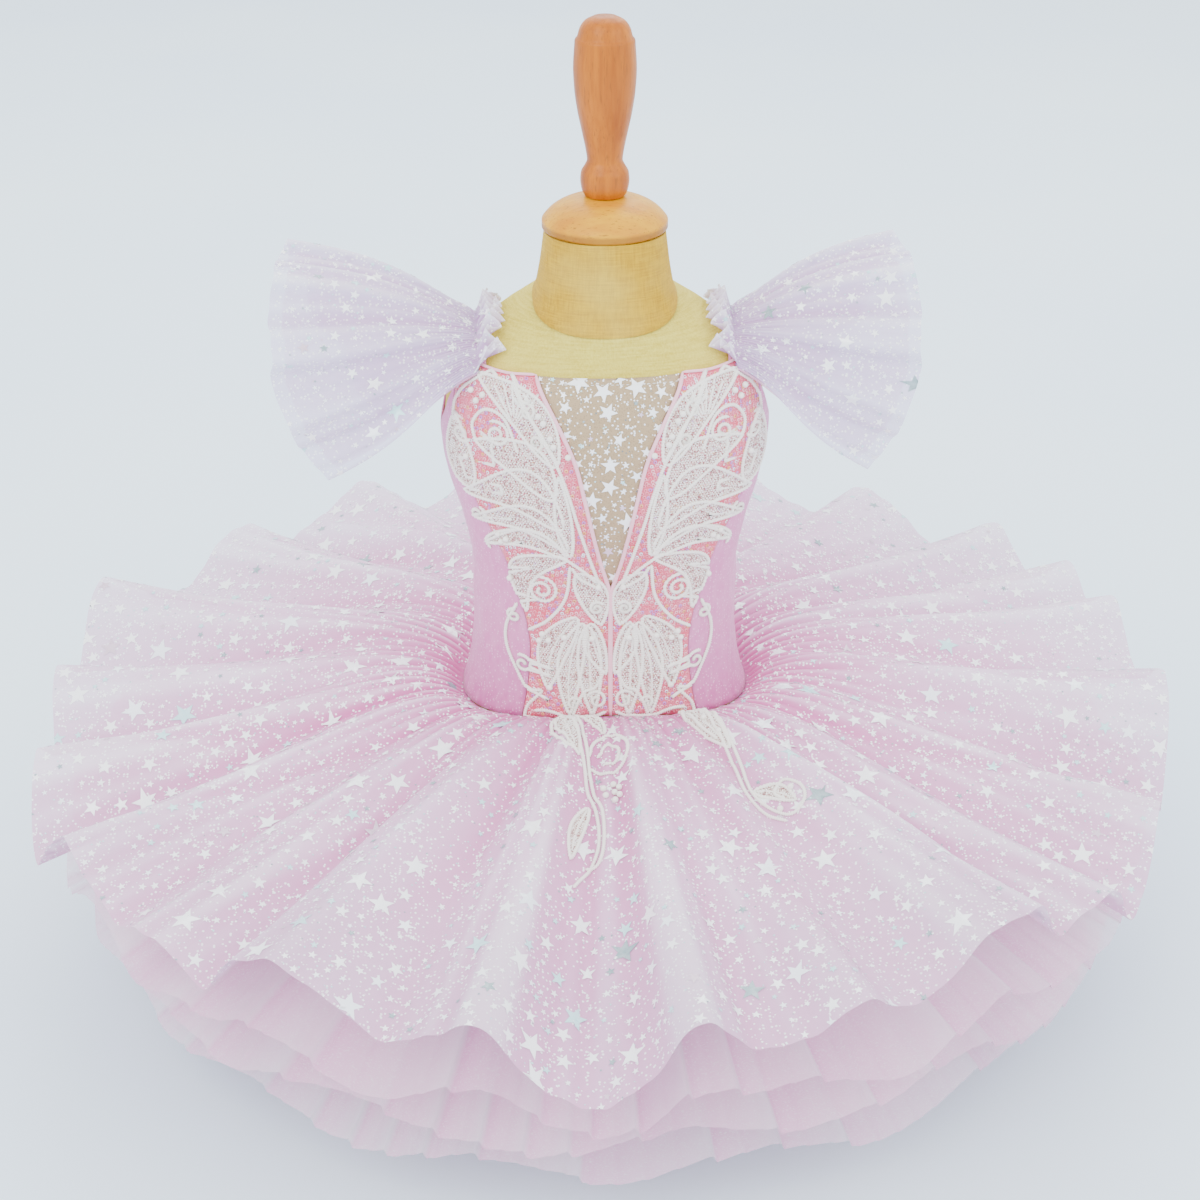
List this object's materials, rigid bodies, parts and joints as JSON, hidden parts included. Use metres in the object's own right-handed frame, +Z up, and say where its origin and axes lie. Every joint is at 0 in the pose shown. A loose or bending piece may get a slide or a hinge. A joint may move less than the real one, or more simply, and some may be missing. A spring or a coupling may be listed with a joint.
{
  "type": "ballet dress on a dress form",
  "caption": "Child's tutu dress with a lace-trimmed bodice, flutter sleeves and a layered star tulle skirt, standing on a limbless linen dress form with a wooden handle.",
  "frame": {"origin": "middle of the dress form's flat base, on the surface it stands on", "axes": "+Z up, the front of the dress faces -Y, +X is the wearer's left"},
  "size_m": [0.7703, 0.7795, 0.65],
  "materials": {
    "linen": "cream-yellow linen, plain weave with slubs",
    "neck_linen": "honey linen, plain weave",
    "cap_wood": "turned pale honey wood, satin varnish",
    "handle_wood": "turned orange-brown wood, satin varnish",
    "sequin_cloth": "coral pink cloth with small iridescent ring sequins",
    "stretch_cloth": "pink-lilac stretch jersey with a soft sheen",
    "star_mesh": "nude mesh with silver foil stars and glitter",
    "star_tulle": "sheer lilac-white tulle with silver foil stars and glitter",
    "pink_tulle": "plain pale pink tulle",
    "lace_thread": "ivory corded lace with small glass beads"
  },
  "bodies": {
    "root": {"form_torso": "linen", "form_neck": "neck_linen", "neck_cap": "cap_wood", "handle": "handle_wood", "panel_front_left": "sequin_cloth", "panel_front_right": "sequin_cloth", "insert_front": "star_mesh", "panel_side_left": "stretch_cloth", "panel_side_right": "stretch_cloth", "panel_back": "stretch_cloth", "strap_left": "stretch_cloth", "strap_right": "stretch_cloth", "sleeve_star_left": "star_tulle", "sleeve_star_right": "star_tulle", "sleeve_pink_left": "pink_tulle", "sleeve_pink_right": "pink_tulle", "skirt_star": "star_tulle", "skirt_pink_upper": "pink_tulle", "skirt_pink_middle": "pink_tulle", "skirt_pink_lower": "pink_tulle", "lace_bodice_left": "lace_thread", "lace_bodice_right": "lace_thread", "lace_tail_left": "lace_thread", "lace_tail_right": "lace_thread"}
  },
  "joints": []
}
